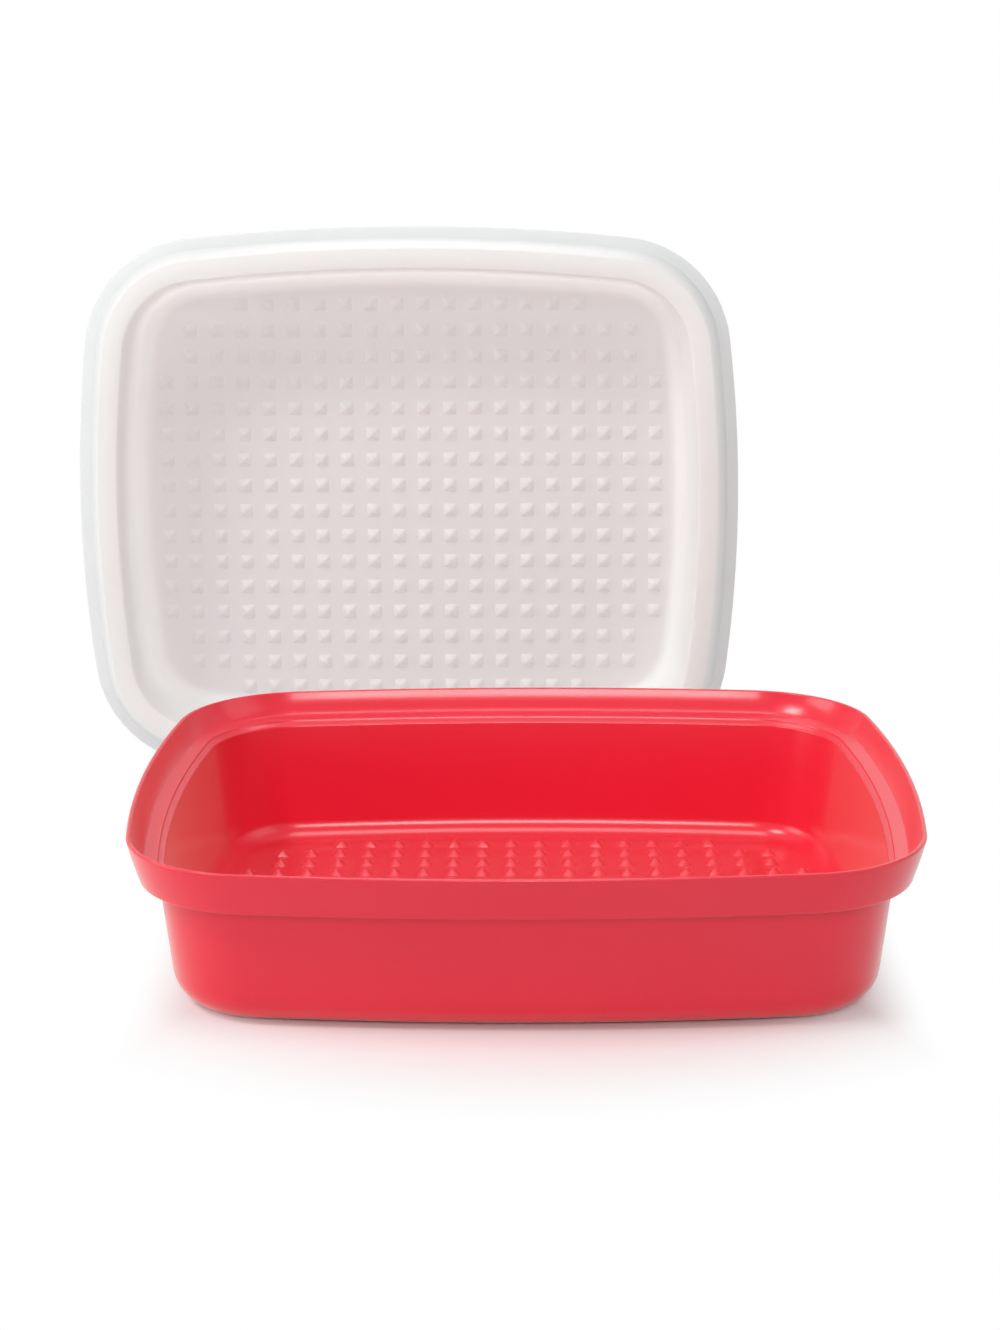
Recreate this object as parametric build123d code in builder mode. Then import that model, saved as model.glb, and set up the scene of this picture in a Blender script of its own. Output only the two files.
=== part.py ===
from build123d import *
import math
import os

# Marinating container: a red tray that stands flat on the table, and the tall clear-white cover
# that belongs on it, standing on its long edge behind the tray and leaning slightly back.
# Millimetres. The origin is in the middle of the tray's underside, X to the right, Y to the back.

# Outline of the tray's rim, seen from above: four sides that bow outwards and four round corners.
RIM_HALF_WIDTH = 155.8
RIM_HALF_DEPTH = 130.3
RIM_CORNER = 52.0
LONG_SIDE_BOW = 12.7
SHORT_SIDE_BOW = 13.4

# Tray, in heights above the table and in distances inwards from the rim's outline.
TRAY_HEIGHT = 66.0
TRAY_WALL = 2.4
FLOOR_THICKNESS = 2.0
LEDGE_DROP = 9.2
LEDGE_WIDTH = 5.0
LEDGE_FALL = 1.2
STEP_DEPTH = 0.8
STEP_LEAN = 0.3
STEP_WIDTH = 2.6
STEP_FALL = 1.2
COLLAR_HEIGHT = 16.7
COLLAR_FLARE = 4.8
COLLAR_HOLLOW = 0.2
COLLAR_INNER_HOLLOW = 0.5
RIM_THICKNESS = 1.8
LEDGE_SET_IN = 6.7
SKIRT_THICKNESS = 1.7
BODY_SET_IN = 11.4
BODY_FOOT_SET_IN = 17.4
FLOOR_SET_IN = 40.0

# Rounding of the tray's section, from its foot to the small step inside its rim.
FOOT_RADIUS = 14.0
FLOOR_RADIUS = 9.5
UNDER_LEDGE_RADIUS = 0.8
COLLAR_FOOT_RADIUS = 0.6
RIM_RADIUS = 0.7
LEDGE_RADIUS = 0.5
STEP_RADIUS = 0.4
WALL_TOP_RADIUS = 1.1

# Knobs that hold the food clear of the floor of the tray and of the panel of the cover. They fill
# a square grid as far as the margin that they keep from the outline of the rim.
KNOB_PITCH = 12.7
KNOB_MARGIN = 31.25
KNOB_HEIGHT = 2.4
KNOB_FOOT = 7.4
KNOB_TAPER = 45.0
KNOB_ROOT = 0.4

# Cover, in heights above the flat ring that rests on the tray's ledge and, like the tray, in
# distances inwards from the outline of the tray's rim.
COVER_OVERHANG = 3.5
COVER_CLEARANCE = 0.35
COVER_WALL = 1.8
COVER_EDGE_RADIUS = 0.8
LIP_RISE = 1.9
RING_SET_IN = 16.4
PANEL_HEIGHT = 44.0
PANEL_SET_IN = 20.6
PANEL_RADIUS = 9.0
RING_OUTER_RADIUS = 2.2
RING_INNER_RADIUS = 1.9
LIP_ROOT_RADIUS = 0.8

# Where the cover stands: the middle of its ring, and how far it leans back, in degrees.
COVER_X = -55.4
COVER_Y = 205.0
COVER_LEAN = 3.7

# Arcs of the outline: each pair of sides has one radius and centre, and each corner lies where
# two circles meet, so that it runs smoothly into both of its sides.
long_radius = (RIM_HALF_WIDTH**2 + LONG_SIDE_BOW**2) / (2 * LONG_SIDE_BOW)
short_radius = (RIM_HALF_DEPTH**2 + SHORT_SIDE_BOW**2) / (2 * SHORT_SIDE_BOW)
long_centre = Vector(0, RIM_HALF_DEPTH - long_radius)
short_centre = Vector(RIM_HALF_WIDTH - short_radius, 0)
apart = short_centre - long_centre
reach_long = long_radius - RIM_CORNER
reach_short = short_radius - RIM_CORNER
along = (reach_long**2 - reach_short**2 + apart.length**2) / (2 * apart.length)
across = math.sqrt(reach_long**2 - along**2)
unit = apart.normalized()
corner = long_centre + unit * along + Vector(unit.Y, -unit.X) * across
from_long = math.degrees(math.atan2(corner.Y - long_centre.Y, corner.X - long_centre.X))
from_short = math.degrees(math.atan2(corner.Y - short_centre.Y, corner.X - short_centre.X))
turn = from_long - from_short


def outline(plane, inset):
    """Closed line of the bowed outline, moved inwards by the inset, drawn on a plane."""
    with BuildLine(plane) as line:
        for side_x, side_y in ((1, -1), (1, 1), (-1, 1), (-1, -1)):
            sides = (
                (long_centre, long_radius - inset, from_long, 90 - from_long),
                (corner, RIM_CORNER - inset, from_short, turn),
                (short_centre, short_radius - inset, 0, from_short),
            )
            for centre, radius, start, sweep_angle in sides:
                start_x = math.cos(math.radians(start)) * radius
                start_y = math.sin(math.radians(start)) * radius
                middle_x = math.cos(math.radians(start + sweep_angle / 2)) * radius
                middle_y = math.sin(math.radians(start + sweep_angle / 2)) * radius
                end_x = math.cos(math.radians(start + sweep_angle)) * radius
                end_y = math.sin(math.radians(start + sweep_angle)) * radius
                ThreePointArc(
                    (side_x * (centre.X + start_x), side_y * (centre.Y + start_y)),
                    (side_x * (centre.X + middle_x), side_y * (centre.Y + middle_y)),
                    (side_x * (centre.X + end_x), side_y * (centre.Y + end_y)),
                )
    return line.wire()


def inset_at(x, y):
    """How far inside the outline a point lies."""
    point = Vector(abs(x), abs(y))
    from_corner = point - corner
    bearing = math.degrees(math.atan2(from_corner.Y, from_corner.X))
    if from_short < bearing < from_long:
        return RIM_CORNER - from_corner.length
    to_long_side = long_radius - (point - long_centre).length
    to_short_side = short_radius - (point - short_centre).length
    return min(to_long_side, to_short_side)


def section_plane(plane):
    """Plane across the wall at the middle of the front side: x runs inwards and y runs upwards."""
    start = plane.from_local_coords(Vector(0, -RIM_HALF_DEPTH, 0))
    return Plane(origin=start, x_dir=plane.y_dir, z_dir=plane.x_dir)


def round_corner(sketch, point, radius):
    """Round the corner of a section that lies at the given point."""
    fillet(sketch.vertices().sort_by_distance(Vector(*point))[0], radius)


# One knob, made once and set out on both pieces: a low four-sided pyramid with a flat tip.
with BuildPart() as knob:
    with BuildSketch(Plane.XY.offset(-KNOB_ROOT)):
        Rectangle(KNOB_FOOT, KNOB_FOOT)
    extrude(amount=KNOB_HEIGHT + KNOB_ROOT, taper=KNOB_TAPER)


def knob_places():
    """Middles of the knobs: the places of a centred square grid that keep clear of the rim."""
    rows = math.ceil(RIM_HALF_DEPTH / KNOB_PITCH)
    columns = math.ceil(RIM_HALF_WIDTH / KNOB_PITCH)
    places = []
    for row in range(-rows, rows):
        for column in range(-columns, columns):
            x = (column + 0.5) * KNOB_PITCH
            y = (row + 0.5) * KNOB_PITCH
            if inset_at(x, y) >= KNOB_MARGIN:
                places.append((x, y))
    return places


# Tray: one wall section carried round the outline, closed by the floor, with the knobs on it.
# The collar flares outwards and hangs below the ledge as a free skirt. The ledge falls a little
# inwards and ends in a small step at the top of the wall.
ledge_height = TRAY_HEIGHT - LEDGE_DROP
under_ledge = ledge_height - LEDGE_FALL - TRAY_WALL
collar_foot = TRAY_HEIGHT - COLLAR_HEIGHT
ledge_end = (LEDGE_SET_IN + LEDGE_WIDTH, ledge_height - LEDGE_FALL)
step_foot = (ledge_end[0] + STEP_LEAN, ledge_end[1] - STEP_DEPTH)
wall_top = (ledge_end[0] + STEP_WIDTH, step_foot[1] - STEP_FALL)
draft = (BODY_FOOT_SET_IN - BODY_SET_IN) / under_ledge
inner_foot = BODY_FOOT_SET_IN + TRAY_WALL - draft * FLOOR_THICKNESS
skirt_foot_set_in = COLLAR_FLARE + SKIRT_THICKNESS
skirt_top_set_in = skirt_foot_set_in - COLLAR_FLARE * (under_ledge - collar_foot) / COLLAR_HEIGHT

with BuildPart() as tray:
    with BuildSketch(section_plane(Plane.XY)) as tray_section:
        with BuildLine():
            Polyline(
                (FLOOR_SET_IN, 0),
                (BODY_FOOT_SET_IN, 0),
                (BODY_SET_IN, under_ledge),
                (skirt_top_set_in, under_ledge),
                (skirt_foot_set_in, collar_foot),
                (COLLAR_FLARE, collar_foot),
            )
            SagittaArc((COLLAR_FLARE, collar_foot), (0, TRAY_HEIGHT), COLLAR_HOLLOW)
            Line((0, TRAY_HEIGHT), (RIM_THICKNESS, TRAY_HEIGHT))
            SagittaArc(
                (RIM_THICKNESS, TRAY_HEIGHT),
                (LEDGE_SET_IN, ledge_height),
                -COLLAR_INNER_HOLLOW,
            )
            Polyline(
                (LEDGE_SET_IN, ledge_height),
                ledge_end,
                step_foot,
                wall_top,
                (inner_foot, FLOOR_THICKNESS),
                (FLOOR_SET_IN, FLOOR_THICKNESS),
                (FLOOR_SET_IN, 0),
            )
        make_face()
        round_corner(tray_section, (BODY_FOOT_SET_IN, 0), FOOT_RADIUS)
        round_corner(tray_section, (inner_foot, FLOOR_THICKNESS), FLOOR_RADIUS)
        round_corner(tray_section, (BODY_SET_IN, under_ledge), UNDER_LEDGE_RADIUS)
        round_corner(tray_section, (skirt_top_set_in, under_ledge), UNDER_LEDGE_RADIUS)
        round_corner(tray_section, (skirt_foot_set_in, collar_foot), COLLAR_FOOT_RADIUS)
        round_corner(tray_section, (COLLAR_FLARE, collar_foot), COLLAR_FOOT_RADIUS)
        round_corner(tray_section, (0, TRAY_HEIGHT), RIM_RADIUS)
        round_corner(tray_section, (RIM_THICKNESS, TRAY_HEIGHT), RIM_RADIUS)
        round_corner(tray_section, (LEDGE_SET_IN, ledge_height), LEDGE_RADIUS)
        round_corner(tray_section, ledge_end, STEP_RADIUS)
        round_corner(tray_section, step_foot, STEP_RADIUS)
        round_corner(tray_section, wall_top, WALL_TOP_RADIUS)
    sweep(path=outline(Plane.XY, 0))
    with BuildSketch():
        make_face(outline(Plane.XY, FLOOR_SET_IN).edges())
    extrude(amount=FLOOR_THICKNESS)
    with Locations(Plane.XY.offset(FLOOR_THICKNESS)):
        with Locations(knob_places()):
            add(knob.part)
tray.part.label = "tray"

# Cover: the same outline, larger by the overhang. Its flat ring rests on the ledge, its skirt
# follows the collar and its lip ends above the rim. Its panel carries the knobs on the inside.
skirt_foot = LEDGE_SET_IN + COVER_CLEARANCE
skirt_top = RIM_THICKNESS + COVER_CLEARANCE
skirt_height = LEDGE_DROP + COVER_CLEARANCE
lip_height = skirt_height + LIP_RISE
lean = math.radians(COVER_LEAN)

# The cover stands on the round of its lip, so the middle of that round sets how high it stands.
lip_along = Vector(skirt_top + COVER_OVERHANG, -LIP_RISE).normalized()
lip_across = Vector(-lip_along.Y, lip_along.X)
lip_round = Vector(-COVER_OVERHANG, lip_height) + (lip_along + lip_across) * COVER_EDGE_RADIUS
stand_height = (
    (RIM_HALF_DEPTH - lip_round.X) * math.cos(lean)
    + lip_round.Y * math.sin(lean)
    + COVER_EDGE_RADIUS
)
cover_plane = Plane(
    origin=(COVER_X, COVER_Y, stand_height),
    x_dir=(-1, 0, 0),
    z_dir=(0, math.cos(lean), -math.sin(lean)),
)
knob_plane = Plane(
    origin=cover_plane.from_local_coords(Vector(0, 0, PANEL_HEIGHT)),
    x_dir=cover_plane.x_dir,
    z_dir=-cover_plane.z_dir,
)

with BuildPart() as cover:
    with BuildSketch(section_plane(cover_plane)) as cover_section:
        with BuildLine() as cover_line:
            Line((-COVER_OVERHANG, lip_height), (skirt_top, skirt_height))
            SagittaArc((skirt_top, skirt_height), (skirt_foot, 0), -COLLAR_INNER_HOLLOW)
            Polyline(
                (skirt_foot, 0),
                (RING_SET_IN, 0),
                (PANEL_SET_IN, PANEL_HEIGHT),
                (FLOOR_SET_IN, PANEL_HEIGHT),
            )
            round_corner(cover_line, (skirt_top, skirt_height), LIP_ROOT_RADIUS)
            round_corner(cover_line, (skirt_foot, 0), RING_OUTER_RADIUS)
            round_corner(cover_line, (RING_SET_IN, 0), RING_INNER_RADIUS)
            round_corner(cover_line, (PANEL_SET_IN, PANEL_HEIGHT), PANEL_RADIUS)
            offset(amount=COVER_WALL, side=Side.LEFT)
        make_face()
        lip_end = Vector(-COVER_OVERHANG, lip_height)
        round_corner(cover_section, lip_end, COVER_EDGE_RADIUS)
        round_corner(cover_section, lip_end + lip_across * COVER_WALL, COVER_EDGE_RADIUS)
    sweep(path=outline(cover_plane, 0))
    with BuildSketch(cover_plane.offset(PANEL_HEIGHT)):
        make_face(outline(Plane.XY, FLOOR_SET_IN).edges())
    extrude(amount=COVER_WALL)
    with Locations(knob_plane):
        with Locations(knob_places()):
            add(knob.part)
cover.part.label = "cover"

os.makedirs("parts", exist_ok=True)
export_step(tray.part, "parts/tray.step")
export_step(cover.part, "parts/cover.step")
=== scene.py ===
import math

import bmesh
import bpy
from mathutils import Matrix, Vector


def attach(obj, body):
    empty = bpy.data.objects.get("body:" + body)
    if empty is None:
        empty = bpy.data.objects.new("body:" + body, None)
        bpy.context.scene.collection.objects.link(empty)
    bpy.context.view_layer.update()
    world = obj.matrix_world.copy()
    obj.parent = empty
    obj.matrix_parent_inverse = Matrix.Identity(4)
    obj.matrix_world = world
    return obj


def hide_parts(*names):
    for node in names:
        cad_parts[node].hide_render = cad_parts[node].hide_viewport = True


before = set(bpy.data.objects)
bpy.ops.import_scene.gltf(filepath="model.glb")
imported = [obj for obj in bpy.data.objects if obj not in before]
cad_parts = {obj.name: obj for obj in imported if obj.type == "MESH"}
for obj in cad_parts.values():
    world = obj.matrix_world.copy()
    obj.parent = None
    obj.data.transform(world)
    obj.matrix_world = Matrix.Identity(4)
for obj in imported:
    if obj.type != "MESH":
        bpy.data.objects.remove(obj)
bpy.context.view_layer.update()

# Tray: the red lower half of the box, one injection moulding of glossy polypropylene.
# Its walls are one section carried round a bowed rectangle, with the collar hanging outside as a
# free skirt and a floor full of low knobs that keep the food up in the marinade.
MM = 0.001
RIM_HALF_WIDTH = 155.8
RIM_HALF_DEPTH = 130.3
RIM_CORNER = 52.0
LONG_SIDE_BOW = 12.7
SHORT_SIDE_BOW = 13.4

# Heights above the table and distances inwards from the rim's outline, in millimetres.
TRAY_HEIGHT = 66.0
TRAY_WALL = 2.4
FLOOR_THICKNESS = 2.0
LEDGE_HEIGHT = 56.8
LEDGE_SET_IN = 6.7
LEDGE_WIDTH = 5.0
LEDGE_FALL = 1.2
STEP_DEPTH = 0.8
STEP_LEAN = 0.3
STEP_WIDTH = 2.6
STEP_FALL = 1.2
COLLAR_FOOT = 49.3
COLLAR_FLARE = 4.8
COLLAR_HOLLOW = 0.2
COLLAR_INNER_HOLLOW = 0.5
RIM_THICKNESS = 1.8
SKIRT_THICKNESS = 1.7
SKIRT_TOP_SET_IN = 5.38
BODY_SET_IN = 11.4
BODY_FOOT_SET_IN = 17.4
INNER_FOOT_SET_IN = 19.57
FLOOR_SET_IN = 40.0

FOOT_RADIUS = 14.0
FLOOR_RADIUS = 9.5
UNDER_LEDGE_RADIUS = 0.8
COLLAR_FOOT_RADIUS = 0.6
RIM_RADIUS = 0.7
LEDGE_RADIUS = 0.5
STEP_RADIUS = 0.4
WALL_TOP_RADIUS = 1.1

KNOB_PITCH = 12.7
KNOB_MARGIN = 31.25
KNOB_HEIGHT = 2.4
KNOB_FOOT = 7.4
KNOB_TOP = 1.8
KNOB_ROOT = 0.4
KNOB_EDGE = 0.6

# The outline's arcs: a centre and a radius for each pair of sides, and a corner between them.
LONG_SIDE_STEPS = 12
SHORT_SIDE_STEPS = 10
CORNER_STEPS = 14
long_radius = (RIM_HALF_WIDTH**2 + LONG_SIDE_BOW**2) / (2 * LONG_SIDE_BOW)
short_radius = (RIM_HALF_DEPTH**2 + SHORT_SIDE_BOW**2) / (2 * SHORT_SIDE_BOW)
long_centre = Vector((0, RIM_HALF_DEPTH - long_radius))
short_centre = Vector((RIM_HALF_WIDTH - short_radius, 0))
apart = short_centre - long_centre
reach_long = long_radius - RIM_CORNER
reach_short = short_radius - RIM_CORNER
along = (reach_long**2 - reach_short**2 + apart.length**2) / (2 * apart.length)
across = math.sqrt(reach_long**2 - along**2)
unit = apart.normalized()
corner = long_centre + unit * along + Vector((unit.y, -unit.x)) * across
from_long = math.atan2(corner.y - long_centre.y, corner.x - long_centre.x)
from_short = math.atan2(corner.y - short_centre.y, corner.x - short_centre.x)


def outline_arcs():
    """The outline as (centre, angle, steps), anticlockwise from the middle of the front side."""
    half_long = math.pi / 2 - from_long
    turn = from_long - from_short
    front = (0, -long_centre.y)
    back = (0, long_centre.y)
    return [
        (front, half_long, LONG_SIDE_STEPS // 2),
        ((corner.x, -corner.y), turn, CORNER_STEPS),
        ((short_centre.x, 0), 2 * from_short, SHORT_SIDE_STEPS),
        ((corner.x, corner.y), turn, CORNER_STEPS),
        (back, 2 * half_long, LONG_SIDE_STEPS),
        ((-corner.x, corner.y), turn, CORNER_STEPS),
        ((-short_centre.x, 0), 2 * from_short, SHORT_SIDE_STEPS),
        ((-corner.x, -corner.y), turn, CORNER_STEPS),
        (front, half_long, LONG_SIDE_STEPS // 2),
    ]


def inset_at(x, y):
    """How far inside the outline a point lies."""
    point = Vector((abs(x), abs(y)))
    off_corner = point - corner
    if from_short < math.atan2(off_corner.y, off_corner.x) < from_long:
        return RIM_CORNER - off_corner.length
    to_long_side = long_radius - (point - long_centre).length
    to_short_side = short_radius - (point - short_centre).length
    return min(to_long_side, to_short_side)


def curve_between(start, end, sagitta, steps):
    """Points of a shallow arc between two points of a section, without its ends."""
    start, end = Vector(start), Vector(end)
    chord = end - start
    side = Vector((-chord.y, chord.x)).normalized()
    points = []
    for step in range(1, steps):
        t = step / steps
        points.append((*(start + chord * t + side * sagitta * 4 * t * (1 - t)), 0))
    return points


DEGREES_A_FACET = 12
MERGE_DISTANCE = 0.02


def sweep_section(section):
    """Draws a wall section of (inset, height, corner radius) and spins it round the outline."""
    bm = bmesh.new()
    chain = [
        bm.verts.new((0, (inset - RIM_HALF_DEPTH) * MM, height * MM))
        for inset, height, _ in section
    ]
    for first, second in zip(chain, chain[1:]):
        bm.edges.new((first, second))
    rounds = []
    for index in range(1, len(section) - 1):
        radius = section[index][2]
        before = chain[index].co - chain[index - 1].co
        turn = before.angle(chain[index + 1].co - chain[index].co)
        if radius:
            rounds.append((chain[index], radius * MM * math.tan(turn / 2), math.degrees(turn)))
    for bend, tangent, degrees in rounds:
        bmesh.ops.bevel(
            bm,
            geom=[bend],
            offset=tangent,
            offset_type="OFFSET",
            segments=max(2, round(degrees / DEGREES_A_FACET)),
            profile=0.5,
            affect="VERTICES",
            material=-1,
        )
    swept = list(bm.verts) + list(bm.edges)
    for centre, angle, steps in outline_arcs():
        result = bmesh.ops.spin(
            bm,
            geom=swept,
            cent=(centre[0] * MM, centre[1] * MM, 0),
            axis=(0, 0, 1),
            dvec=(0, 0, 0),
            angle=angle,
            steps=steps,
            use_merge=False,
        )
        swept = result["geom_last"]
    bmesh.ops.remove_doubles(bm, verts=bm.verts, dist=MERGE_DISTANCE * MM)
    bmesh.ops.holes_fill(bm, edges=[e for e in bm.edges if e.is_boundary], sides=0)
    bmesh.ops.recalc_face_normals(bm, faces=bm.faces)
    return bm


def add_knobs(bm, height, upwards):
    """Sets out one rounded low pyramid at every place of the pattern and joins all to the piece."""
    knob = bmesh.new()
    bmesh.ops.create_cube(knob, size=1)
    for vert in knob.verts:
        is_top = vert.co.z > 0
        half = (KNOB_TOP if is_top else KNOB_FOOT) / 2 * MM
        vert.co.x = math.copysign(half, vert.co.x)
        vert.co.y = math.copysign(half, vert.co.y)
        vert.co.z = (KNOB_HEIGHT if is_top else -KNOB_ROOT) * MM
    slopes = [e for e in knob.edges if abs(e.verts[0].co.z - e.verts[1].co.z) > 0.001]
    tops = [e for e in knob.edges if min(v.co.z for v in e.verts) > 0.001]
    bmesh.ops.bevel(
        knob,
        geom=slopes + tops,
        offset=KNOB_EDGE * MM,
        offset_type="OFFSET",
        segments=2,
        profile=0.5,
        affect="EDGES",
        material=-1,
    )
    if not upwards:
        bmesh.ops.scale(knob, vec=(1, 1, -1), verts=knob.verts)
        bmesh.ops.reverse_faces(knob, faces=knob.faces)
    knob_mesh = bpy.data.meshes.new("knob_pattern")
    knob.to_mesh(knob_mesh)
    knob.free()
    pattern = bmesh.new()
    rows = math.ceil(RIM_HALF_DEPTH / KNOB_PITCH)
    columns = math.ceil(RIM_HALF_WIDTH / KNOB_PITCH)
    for row in range(-rows, rows):
        for column in range(-columns, columns):
            x = (column + 0.5) * KNOB_PITCH
            y = (row + 0.5) * KNOB_PITCH
            if inset_at(x, y) < KNOB_MARGIN:
                continue
            made = len(pattern.verts)
            pattern.from_mesh(knob_mesh)
            pattern.verts.ensure_lookup_table()
            place_mm = Vector((x, y, height))
            bmesh.ops.translate(pattern, verts=pattern.verts[made:], vec=place_mm * MM)
    pattern.to_mesh(knob_mesh)
    pattern.free()
    knobs = bpy.data.objects.new("knob_pattern", knob_mesh)
    bare_mesh = bpy.data.meshes.new("bare_shell")
    bm.to_mesh(bare_mesh)
    bare = bpy.data.objects.new("bare_shell", bare_mesh)
    for helper in (knobs, bare):
        bpy.context.scene.collection.objects.link(helper)
    join = bare.modifiers.new("join", "BOOLEAN")
    join.operation = "UNION"
    join.solver = "EXACT"
    join.object = knobs
    joined = bare.evaluated_get(bpy.context.evaluated_depsgraph_get()).to_mesh()
    bm.clear()
    bm.from_mesh(joined)
    for helper in (knobs, bare):
        bpy.data.objects.remove(helper)
    bpy.data.meshes.remove(knob_mesh)
    bpy.data.meshes.remove(bare_mesh)


SHARP_FOLD = math.radians(30)


def finished(name, bm, material):
    """Turns a bmesh into a smooth-shaded object whose sharp folds stay crisp."""
    for face in bm.faces:
        face.smooth = True
    for edge in bm.edges:
        if len(edge.link_faces) == 2 and edge.calc_face_angle(0) > SHARP_FOLD:
            edge.smooth = False
    mesh = bpy.data.meshes.new(name)
    bm.to_mesh(mesh)
    bm.free()
    mesh.materials.append(material)
    piece = bpy.data.objects.new(name, mesh)
    bpy.context.scene.collection.objects.link(piece)
    return piece


def linear(hex_colour):
    """An sRGB hex colour as the linear RGBA that the shaders take."""
    channels = [int(hex_colour[i : i + 2], 16) / 255 for i in (1, 3, 5)]
    return (*[c / 12.92 if c <= 0.04045 else ((c + 0.055) / 1.055) ** 2.4 for c in channels], 1)


def new_material(name):
    """An empty node material and its output node."""
    material = bpy.data.materials.new(name)
    material.use_nodes = True
    material.node_tree.nodes.clear()
    return material, material.node_tree.nodes.new("ShaderNodeOutputMaterial")


def node(owner, kind, settings=None, values=None, links=None):
    """Adds a node with its settings, its socket values and the sockets that feed it."""
    made = owner.node_tree.nodes.new(kind)
    for key, value in (settings or {}).items():
        setattr(made, key, value)
    for key, value in (values or {}).items():
        made.inputs[key].default_value = value
    for key, socket in (links or {}).items():
        owner.node_tree.links.new(socket, made.inputs[key])
    return made


# Polypropylene with red masterbatch, moulded in a polished tool: an even, deep red under a soft,
# slightly wavy gloss, with a faint warm bloom where the surface is seen at a glancing angle.
FLOW_MM = 71.43
RIPPLE_MM = 8.333
red, red_output = new_material("polypropylene_moulded_gloss_red")
place = node(red, "ShaderNodeTexCoord")
flow = node(
    red,
    "ShaderNodeTexNoise",
    values={"Scale": 1 / (FLOW_MM * MM), "Detail": 2.0, "Roughness": 0.5},
    links={"Vector": place.outputs["Object"]},
)
shade = node(
    red,
    "ShaderNodeMix",
    {"data_type": "RGBA"},
    {6: linear("#E51C36"), 7: linear("#EB223C")},
    {0: flow.outputs["Fac"]},
)
ripple = node(
    red,
    "ShaderNodeTexNoise",
    values={"Scale": 1 / (RIPPLE_MM * MM), "Detail": 2.0},
    links={"Vector": place.outputs["Object"]},
)
skin = node(
    red,
    "ShaderNodeBump",
    values={"Strength": 0.06, "Distance": 0.0006},
    links={"Height": ripple.outputs["Fac"]},
)
gloss = node(
    red,
    "ShaderNodeMapRange",
    values={"To Min": 0.19, "To Max": 0.24},
    links={"Value": flow.outputs["Fac"]},
)
plastic = node(
    red,
    "ShaderNodeBsdfPrincipled",
    values={
        "IOR": 1.49,
        "Sheen Weight": 0.25,
        "Sheen Roughness": 0.4,
        "Sheen Tint": linear("#FFF6E0"),
    },
    links={
        "Base Color": shade.outputs[2],
        "Roughness": gloss.outputs["Result"],
        "Normal": skin.outputs["Normal"],
    },
)
red.node_tree.links.new(plastic.outputs["BSDF"], red_output.inputs["Surface"])

under_ledge = LEDGE_HEIGHT - LEDGE_FALL - TRAY_WALL
ledge_end = (LEDGE_SET_IN + LEDGE_WIDTH, LEDGE_HEIGHT - LEDGE_FALL)
step_foot = (ledge_end[0] + STEP_LEAN, ledge_end[1] - STEP_DEPTH)
wall_top = (ledge_end[0] + STEP_WIDTH, step_foot[1] - STEP_FALL)
rim_inside = (RIM_THICKNESS, TRAY_HEIGHT)
ledge_start = (LEDGE_SET_IN, LEDGE_HEIGHT)
tray_section = [
    (FLOOR_SET_IN, 0, 0),
    (BODY_FOOT_SET_IN, 0, FOOT_RADIUS),
    (BODY_SET_IN, under_ledge, UNDER_LEDGE_RADIUS),
    (SKIRT_TOP_SET_IN, under_ledge, UNDER_LEDGE_RADIUS),
    (COLLAR_FLARE + SKIRT_THICKNESS, COLLAR_FOOT, COLLAR_FOOT_RADIUS),
    (COLLAR_FLARE, COLLAR_FOOT, COLLAR_FOOT_RADIUS),
    *curve_between((COLLAR_FLARE, COLLAR_FOOT), (0, TRAY_HEIGHT), COLLAR_HOLLOW, 8),
    (0, TRAY_HEIGHT, RIM_RADIUS),
    (*rim_inside, RIM_RADIUS),
    *curve_between(rim_inside, ledge_start, -COLLAR_INNER_HOLLOW, 6),
    (*ledge_start, LEDGE_RADIUS),
    (*ledge_end, STEP_RADIUS),
    (*step_foot, STEP_RADIUS),
    (*wall_top, WALL_TOP_RADIUS),
    (INNER_FOOT_SET_IN, FLOOR_THICKNESS, FLOOR_RADIUS),
    (FLOOR_SET_IN, FLOOR_THICKNESS, 0),
]
tray_shape = sweep_section(tray_section)
add_knobs(tray_shape, FLOOR_THICKNESS, upwards=True)
tray_shell = finished("tray_shell", tray_shape, red)
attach(tray_shell, "tray")
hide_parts("tray")

# Cover: the sheer upper half, one moulding of unpigmented polypropylene. A flat ring rests on the
# tray's ledge, a skirt and a lip outside it press into the collar, and the tall wall inside it
# carries a panel with the same knobs. Here it stands on its long edge behind the tray.
COVER_OVERHANG = 3.5
COVER_WALL = 1.8

# Heights above the flat ring and distances inwards from the outline of the tray's rim.
LIP_HEIGHT = 11.45
LIP_ROOT_BACK = (3.42, 11.02)
SKIRT_HEIGHT = 9.55
SKIRT_TOP = 2.15
SKIRT_FOOT = 7.05
SKIRT_FOOT_BACK = (8.2, COVER_WALL)
RING_SET_IN = 16.4
PANEL_HEIGHT = 44.0
PANEL_SET_IN = 20.6

LIP_RADIUS = 0.8
LIP_ROOT_RADIUS = 0.5
LIP_BACK_RADIUS = 1.2
SKIRT_FOOT_RADIUS = 0.8
SKIRT_BACK_RADIUS = 0.9
RING_RADIUS = 1.0
RING_BACK_RADIUS = 0.5
PANEL_RADIUS = 9.0

COVER_X = -55.4
COVER_Y = 205.0
COVER_Z = 134.08
COVER_LEAN = math.radians(3.7)

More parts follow.
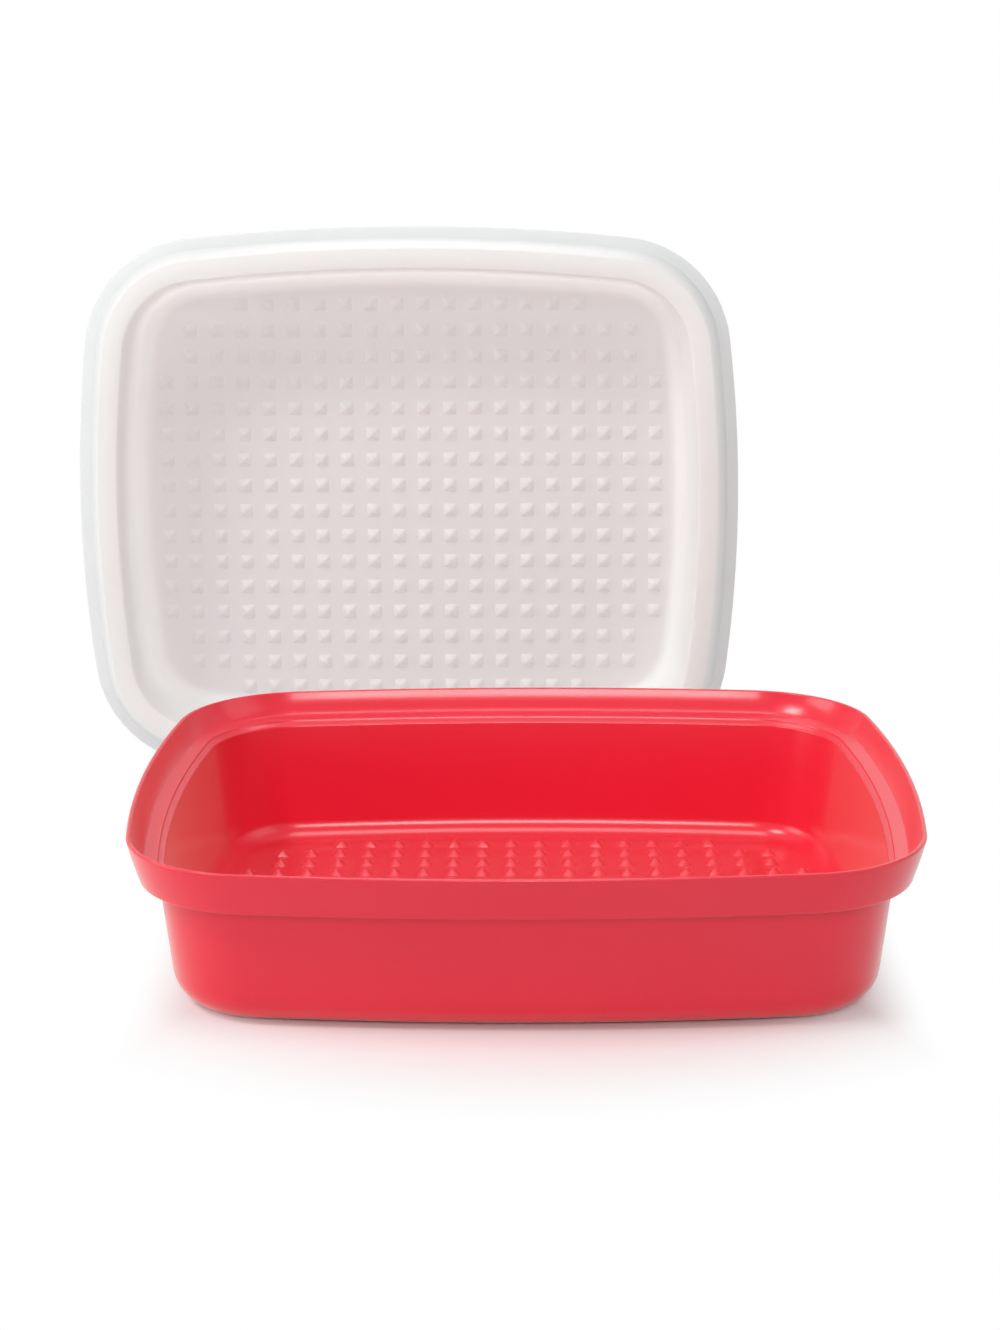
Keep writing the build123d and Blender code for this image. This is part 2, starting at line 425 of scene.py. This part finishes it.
# Natural polypropylene, moulded with a fine satin inside: milky and lets soft light through. The
# lip and the panel deep inside the cover are painted a little darker than the ring and the wall as
# shade, and the panel also a faint pink as painted bounce light from the red tray. The satin's real
# grain is too fine to show, so it is drawn a few millimetres coarse.
CLOUD_MM = 111.1
GRAIN_MM = 3.333
sheer, sheer_output = new_material("polypropylene_moulded_natural")
place = node(sheer, "ShaderNodeTexCoord")
cloud = node(
    sheer,
    "ShaderNodeTexNoise",
    values={"Scale": 1 / (CLOUD_MM * MM), "Detail": 2.0},
    links={"Vector": place.outputs["Object"]},
)
wall_tone = node(
    sheer,
    "ShaderNodeMix",
    {"data_type": "RGBA"},
    {6: linear("#F3F3F2"), 7: linear("#F8F8F7")},
    {0: cloud.outputs["Fac"]},
)
from_edge = node(sheer, "ShaderNodeAttribute", {"attribute_name": "from_edge_mm"})
# Painted shade on the lip: 0 at the edge, rising to 1 by 9 mm in, where the lip's darker colour
# fades out.
lip_shade_fade = node(
    sheer,
    "ShaderNodeMapRange",
    {"interpolation_type": "SMOOTHSTEP"},
    {"From Min": 2.0, "From Max": 9.0},
    {"Value": from_edge.outputs["Fac"]},
)
# Painted shade on the panel deep inside the cover, fading in from 23.5 mm to 28.5 mm inside the
# edge.
panel_shade_mask = node(
    sheer,
    "ShaderNodeMapRange",
    {"interpolation_type": "SMOOTHSTEP"},
    {"From Min": 23.5, "From Max": 28.5},
    {"Value": from_edge.outputs["Fac"]},
)
# Lays the lip's painted shade, #ECEDED, over the wall's own cloudy tone.
wall_tone_and_lip_shade = node(
    sheer,
    "ShaderNodeMix",
    {"data_type": "RGBA"},
    {6: linear("#ECEDED")},
    {0: lip_shade_fade.outputs["Result"], 7: wall_tone.outputs[2]},
)
# Lays the panel's painted shade and painted pink bounce light, #F0EEEE, over the rest of the
# colour.
milk_and_painted_shade = node(
    sheer,
    "ShaderNodeMix",
    {"data_type": "RGBA"},
    {7: linear("#F0EEEE")},
    {0: panel_shade_mask.outputs["Result"], 6: wall_tone_and_lip_shade.outputs[2]},
)
grain = node(
    sheer,
    "ShaderNodeTexNoise",
    values={"Scale": 1 / (GRAIN_MM * MM), "Detail": 1.0},
    links={"Vector": place.outputs["Object"]},
)
satin = node(
    sheer,
    "ShaderNodeBump",
    values={"Strength": 0.05, "Distance": 0.0004},
    links={"Height": grain.outputs["Fac"]},
)
surface = node(
    sheer,
    "ShaderNodeBsdfPrincipled",
    values={"IOR": 1.49, "Roughness": 0.38},
    links={"Base Color": milk_and_painted_shade.outputs[2], "Normal": satin.outputs["Normal"]},
)
through = node(sheer, "ShaderNodeBsdfTranslucent", links={"Color": milk_and_painted_shade.outputs[2]})
both = node(
    sheer,
    "ShaderNodeMixShader",
    values={"Fac": 0.5},
    links={1: surface.outputs["BSDF"], 2: through.outputs["BSDF"]},
)
sheer.node_tree.links.new(both.outputs["Shader"], sheer_output.inputs["Surface"])

lip_along = Vector((SKIRT_TOP + COVER_OVERHANG, SKIRT_HEIGHT - LIP_HEIGHT)).normalized()
lip_across = Vector((-lip_along.y, lip_along.x)) * COVER_WALL
wall_across = COVER_WALL * (1 - (PANEL_SET_IN - RING_SET_IN) / PANEL_HEIGHT)
cover_section = [
    (FLOOR_SET_IN, PANEL_HEIGHT, 0),
    (PANEL_SET_IN, PANEL_HEIGHT, PANEL_RADIUS),
    (RING_SET_IN, 0, RING_RADIUS),
    (SKIRT_FOOT, 0, SKIRT_FOOT_RADIUS),
    *curve_between((SKIRT_FOOT, 0), (SKIRT_TOP, SKIRT_HEIGHT), COLLAR_INNER_HOLLOW, 6),
    (SKIRT_TOP, SKIRT_HEIGHT, LIP_ROOT_RADIUS),
    (-COVER_OVERHANG, LIP_HEIGHT, LIP_RADIUS),
    (-COVER_OVERHANG + lip_across.x, LIP_HEIGHT + lip_across.y, LIP_RADIUS),
    (*LIP_ROOT_BACK, LIP_BACK_RADIUS),
    *curve_between(LIP_ROOT_BACK, SKIRT_FOOT_BACK, -COLLAR_INNER_HOLLOW, 6),
    (*SKIRT_FOOT_BACK, SKIRT_BACK_RADIUS),
    (RING_SET_IN - wall_across, COVER_WALL, RING_BACK_RADIUS),
    (PANEL_SET_IN - wall_across, PANEL_HEIGHT + COVER_WALL, PANEL_RADIUS + COVER_WALL),
    (FLOOR_SET_IN, PANEL_HEIGHT + COVER_WALL, 0),
]
cover_shape = sweep_section(cover_section)
add_knobs(cover_shape, PANEL_HEIGHT, upwards=False)
from_edge_mm = cover_shape.verts.layers.float.new("from_edge_mm")
for vert in cover_shape.verts:
    vert[from_edge_mm] = inset_at(vert.co.x / MM, vert.co.y / MM)
stand = Matrix(
    (
        (-1, 0, 0, COVER_X * MM),
        (0, math.sin(COVER_LEAN), math.cos(COVER_LEAN), COVER_Y * MM),
        (0, math.cos(COVER_LEAN), -math.sin(COVER_LEAN), COVER_Z * MM),
        (0, 0, 0, 1),
    )
)
bmesh.ops.transform(cover_shape, matrix=stand, verts=cover_shape.verts)
cover_shell = finished("cover_shell", cover_shape, sheer)
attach(cover_shell, "cover")
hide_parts("cover")

# Floor: a plain white sheet that keeps the soft shadows under the tray and the cover's edge and
# shows pure white elsewhere, to the camera and in the plastic's reflections.
white, white_output = new_material("matt_white_paper")
paper = node(white, "ShaderNodeBsdfDiffuse", values={"Color": linear("#F1F4F4")})
bright = node(white, "ShaderNodeEmission", values={"Color": linear("#FFFFFF"), "Strength": 1.0})
spot = node(white, "ShaderNodeTexCoord")


def seen_directly(owner):
    """1 for the camera, a reflection or a view through plastic, and 0 for light that is cast."""
    ray = node(owner, "ShaderNodeLightPath")
    seen = ray.outputs["Is Camera Ray"]
    for kind in ("Is Glossy Ray", "Is Transmission Ray"):
        either = node(
            owner,
            "ShaderNodeMath",
            {"operation": "MAXIMUM"},
            links={0: seen, 1: ray.outputs[kind]},
        )
        seen = either.outputs[0]
    return seen


def clear_of(centre_m, half_width_m, half_depth_m, start, end):
    """Runs from almost 0 near a piece to 1 away from it, over an oval round the piece."""
    scaled = node(
        white,
        "ShaderNodeMapping",
        {"vector_type": "TEXTURE"},
        {"Location": (*centre_m, 0), "Scale": (half_width_m, half_depth_m, 1)},
        {"Vector": spot.outputs["Object"]},
    )
    reach = node(
        white,
        "ShaderNodeVectorMath",
        {"operation": "LENGTH"},
        links={0: scaled.outputs["Vector"]},
    )
    fade = node(
        white,
        "ShaderNodeMapRange",
        {"interpolation_type": "SMOOTHSTEP"},
        {"From Min": start, "From Max": end, "To Min": 0.02, "To Max": 1.0},
        {"Value": reach.outputs["Value"]},
    )
    return fade.outputs["Result"]


beside = node(
    white,
    "ShaderNodeMath",
    {"operation": "MAXIMUM"},
    links={
        0: clear_of((0, 0), half_width_m=0.156, half_depth_m=0.13, start=0.9, end=1.5),
        1: clear_of((0, 0), half_width_m=0.135, half_depth_m=10.0, start=0.87, end=1.13),
    },
)
below_cover = clear_of(
    (-0.055, 0.225),
    half_width_m=0.105,
    half_depth_m=0.045,
    start=0.45,
    end=1.1,
)
clear = node(
    white,
    "ShaderNodeMath",
    {"operation": "MINIMUM"},
    links={0: beside.outputs[0], 1: below_cover},
)
share = node(
    white,
    "ShaderNodeMath",
    {"operation": "MULTIPLY"},
    links={0: seen_directly(white), 1: clear.outputs[0]},
)
mixed = node(
    white,
    "ShaderNodeMixShader",
    links={0: share.outputs[0], 1: paper.outputs["BSDF"], 2: bright.outputs["Emission"]},
)
white.node_tree.links.new(mixed.outputs["Shader"], white_output.inputs["Surface"])
ground_shape = bmesh.new()
bmesh.ops.create_grid(ground_shape, x_segments=1, y_segments=1, size=6.0)
ground = finished("ground", ground_shape, white)

# Studio: white all round to the eye, an even dim light from it, and six soft boxes, of which the
# strongest stands to the left of the camera and the smallest hangs above and behind the cover.
world = bpy.data.worlds.new("studio")
bpy.context.scene.world = world
world.use_nodes = True
world.node_tree.nodes.clear()
sky_light = node(
    world,
    "ShaderNodeMapRange",
    values={"To Min": 0.25, "To Max": 1.0},
    links={"Value": seen_directly(world)},
)
sky = node(
    world,
    "ShaderNodeBackground",
    values={"Color": linear("#FFFFFF")},
    links={"Strength": sky_light.outputs["Result"]},
)
node(world, "ShaderNodeOutputWorld", links={"Surface": sky.outputs["Background"]})


def soft_box(name, place_m, target_m, size, power):
    """A square area lamp at a place, turned to face a target."""
    lamp = bpy.data.lights.new(name, "AREA")
    lamp.shape = "SQUARE"
    lamp.size = size
    lamp.energy = power
    holder = bpy.data.objects.new(name, lamp)
    holder.location = place_m
    aim = Vector(target_m) - Vector(place_m)
    holder.rotation_euler = aim.to_track_quat("-Z", "Y").to_euler()
    bpy.context.scene.collection.objects.link(holder)


soft_box("key", (-1.2, -0.7, 1.7), (0, 0.05, 0.05), 0.5, 13)
soft_box("front", (0.0, -1.6, 0.95), (0, 0.05, 0.05), 0.36, 6.8)
soft_box("top", (-0.1, -0.35, 1.6), (0, 0.05, 0.05), 0.55, 4.7)
soft_box("back", (-0.05, 0.42, 0.6), (-0.05, 0.15, 0.1), 0.3, 0.9)
soft_box("left", (-1.6, -0.2, 0.5), (0, 0.05, 0.1), 0.9, 9.5)
soft_box("fill", (1.8, -0.6, 1.2), (0, 0.05, 0.05), 1.4, 6)

# Camera: the photograph's own viewpoint, almost a metre in front of the tray and above it, turned
# by angles in radians, with a lens as long as the photograph's own perspective asks for.
PHOTO_HEIGHT_PIXELS = 1330
FOCAL_PIXELS = 2494.5
SENSOR_MM = 36
CAMERA_PLACE = (-0.0022, -0.9694, 0.3675)
TURNED_RIGHT = -0.0081
TILTED_DOWN = 0.2587
ROLLED_LEFT = -0.005

camera_data = bpy.data.cameras.new("camera")
camera_data.sensor_width = SENSOR_MM
camera_data.lens = FOCAL_PIXELS / PHOTO_HEIGHT_PIXELS * SENSOR_MM
camera_data.clip_end = 50
camera = bpy.data.objects.new("camera", camera_data)
forward = Vector(
    (
        math.sin(TURNED_RIGHT) * math.cos(TILTED_DOWN),
        math.cos(TURNED_RIGHT) * math.cos(TILTED_DOWN),
        -math.sin(TILTED_DOWN),
    )
)
level_right = Vector((math.cos(TURNED_RIGHT), -math.sin(TURNED_RIGHT), 0))
level_up = level_right.cross(forward)
right = level_right * math.cos(ROLLED_LEFT) + level_up * math.sin(ROLLED_LEFT)
up = level_up * math.cos(ROLLED_LEFT) - level_right * math.sin(ROLLED_LEFT)
camera.matrix_world = Matrix(
    (
        (right.x, up.x, -forward.x, CAMERA_PLACE[0]),
        (right.y, up.y, -forward.y, CAMERA_PLACE[1]),
        (right.z, up.z, -forward.z, CAMERA_PLACE[2]),
        (0, 0, 0, 1),
    )
)
bpy.context.scene.collection.objects.link(camera)
bpy.context.scene.camera = camera
bpy.context.scene.view_settings.view_transform = "Standard"
